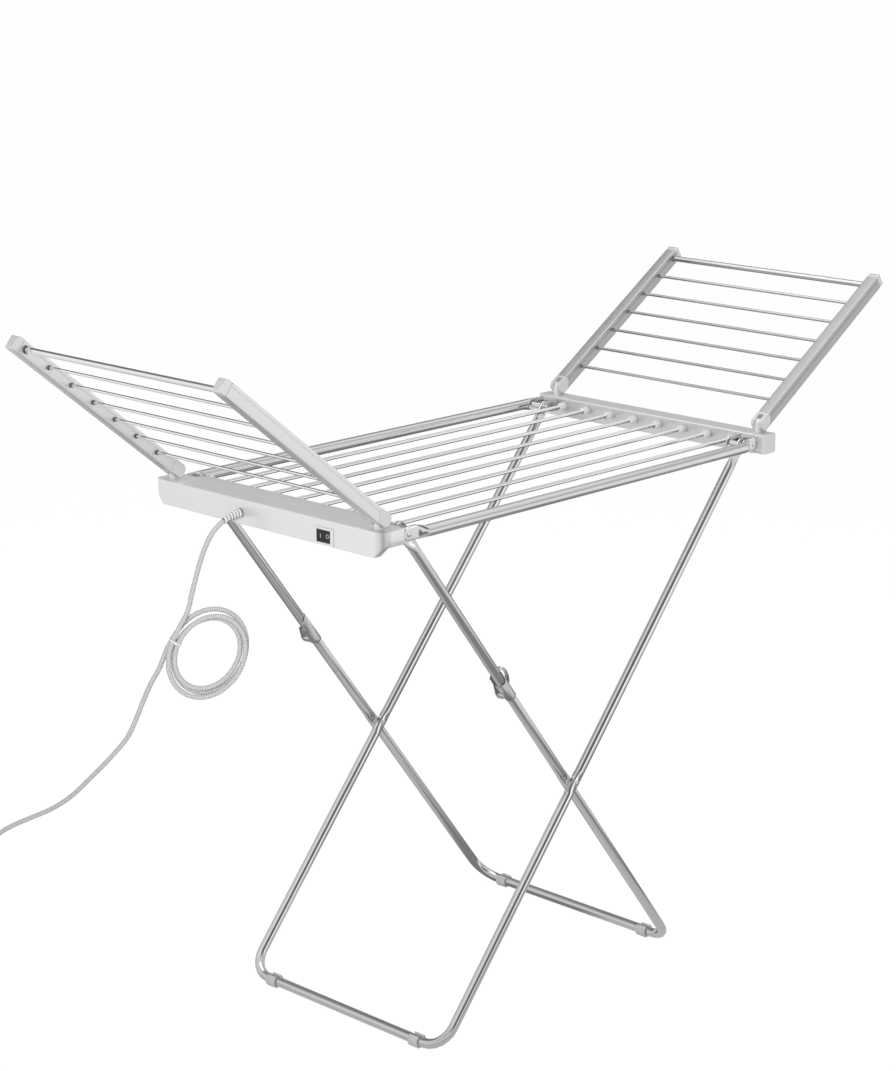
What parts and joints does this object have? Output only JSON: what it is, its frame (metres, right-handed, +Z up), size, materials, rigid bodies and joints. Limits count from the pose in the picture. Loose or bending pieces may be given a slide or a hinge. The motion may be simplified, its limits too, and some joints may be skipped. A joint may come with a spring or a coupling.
{
  "type": "heated clothes airer",
  "caption": "Winged clothes airer with a tray of heated bars, a jointed and an undivided leg frame that cross and fold, folding rung wings, a rocker switch and a mains lead.",
  "frame": {"origin": "on the floor, under the middle of the open airer without its mains lead", "axes": "+X runs from the switch housing to the plain housing, +Y to the far rail, +Z up"},
  "size_m": [1.7213, 1.0049, 1.1959],
  "materials": {
    "chromed_steel": "bright chromed tube",
    "zinc_steel": "zinc plated pressed sheet",
    "heated_tube": "smooth bright tube",
    "satin_aluminium": "satin extruded",
    "silver_plastic": "fine satin, silver grey",
    "pale_plastic": "smooth light grey",
    "black_plastic": "smooth black",
    "cord_sleeve": "braided textile sleeve, light grey"
  },
  "bodies": {
    "tray": {"rail_near": "chromed_steel", "rail_far": "chromed_steel", "heated_bar_1": "heated_tube", "heated_bar_2": "heated_tube", "heated_bar_3": "heated_tube", "heated_bar_4": "heated_tube", "heated_bar_5": "heated_tube", "heated_bar_6": "heated_tube", "heated_bar_7": "heated_tube", "heated_bar_8": "heated_tube", "switch_housing": "silver_plastic", "housing_cover": "silver_plastic", "switch_bezel": "pale_plastic", "strain_relief": "silver_plastic", "terminal_strip": "pale_plastic", "plain_housing": "satin_aluminium", "end_block_near": "silver_plastic", "end_block_far": "silver_plastic", "cord_first": "cord_sleeve", "cord_coil": "cord_sleeve", "cord_tail": "cord_sleeve", "plug": "pale_plastic"},
    "solid_leg_frame": {"solid_frame": "chromed_steel", "foot_left_near": "black_plastic", "foot_left_far": "black_plastic"},
    "upper_links": {"upper_link_near": "chromed_steel", "upper_link_far": "chromed_steel"},
    "lower_leg_frame": {"lower_frame": "chromed_steel", "knee_bracket_near": "zinc_steel", "knee_bracket_far": "zinc_steel", "foot_right_near": "black_plastic", "foot_right_far": "black_plastic"},
    "wing_left": {"arm_left_near": "satin_aluminium", "arm_left_far": "satin_aluminium", "knuckle_left_near": "silver_plastic", "knuckle_left_far": "silver_plastic", "arm_cap_left_near": "silver_plastic", "arm_cap_left_far": "silver_plastic", "rung_left_1": "heated_tube", "rung_left_2": "heated_tube", "rung_left_3": "heated_tube", "rung_left_4": "heated_tube", "rung_left_5": "heated_tube", "rung_left_6": "heated_tube", "rung_left_7": "heated_tube"},
    "wing_right": {"arm_right_near": "satin_aluminium", "arm_right_far": "satin_aluminium", "knuckle_right_near": "silver_plastic", "knuckle_right_far": "silver_plastic", "arm_cap_right_near": "silver_plastic", "arm_cap_right_far": "silver_plastic", "rung_right_1": "heated_tube", "rung_right_2": "heated_tube", "rung_right_3": "heated_tube", "rung_right_4": "heated_tube", "rung_right_5": "heated_tube", "rung_right_6": "heated_tube", "rung_right_7": "heated_tube"},
    "rocker": {"rocker_switch": "black_plastic"}
  },
  "joints": [
    {"name": "solid_leg_fold", "type": "hinge", "parent": "tray", "child": "solid_leg_frame", "pos_m": [0.40273, 0, 0.906], "axis": [0, 1, 0], "range_deg": [0, 42.5], "deforming": ["cord_tail"]},
    {"name": "upper_link_fold", "type": "hinge", "parent": "tray", "child": "upper_links", "pos_m": [-0.42727, 0, 0.906], "axis": [0, -1, 0], "range_deg": [0, 50.15]},
    {"name": "knee_fold", "type": "hinge", "parent": "upper_links", "child": "lower_leg_frame", "pos_m": [-0.19252, 0, 0.5799], "axis": [0, 1, 0], "range_deg": [0, 166.99]},
    {"name": "left_wing_fold", "type": "hinge", "parent": "tray", "child": "wing_left", "pos_m": [-0.48627, 0, 0.9335], "axis": [0, 1, 0], "range_deg": [0, 141.3]},
    {"name": "right_wing_fold", "type": "hinge", "parent": "tray", "child": "wing_right", "pos_m": [0.46173, 0, 0.9335], "axis": [0, -1, 0], "range_deg": [0, 147.2]},
    {"name": "switch_rock", "type": "hinge", "parent": "tray", "child": "rocker", "pos_m": [-0.50817, -0.136, 0.893], "axis": [0, 0, -1], "range_deg": [0, 16]}
  ],
  "couplings": [
    {"joint": "upper_link_fold", "follows": "solid_leg_fold", "ratio": 1.1795},
    {"joint": "knee_fold", "follows": "solid_leg_fold", "ratio": 3.9287}
  ]
}
